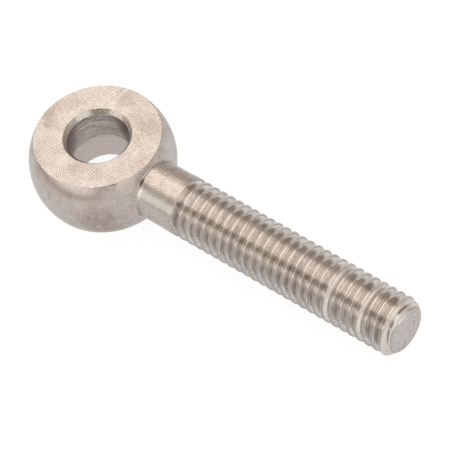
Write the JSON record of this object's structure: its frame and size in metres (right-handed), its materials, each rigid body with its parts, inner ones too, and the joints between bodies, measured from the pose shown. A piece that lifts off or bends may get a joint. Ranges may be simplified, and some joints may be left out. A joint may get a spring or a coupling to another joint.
{
  "type": "rod end",
  "caption": "One-piece rod end: a turned ball eye with milled flats and a chamfered cross bore, on a plain neck and a right-hand threaded shank.",
  "frame": {"origin": "centre of the eye's cross bore, midway between its two flats", "axes": "+X along the shank towards the tip, +Z along the cross bore, +Y completing a right-handed frame"},
  "size_m": [0.0366, 0.012, 0.006],
  "materials": {
    "stainless_steel": "bare, milled flats, satin turned ball and neck, bright rolled thread"
  },
  "bodies": {
    "root": {"rod_end": "stainless_steel"}
  },
  "joints": []
}
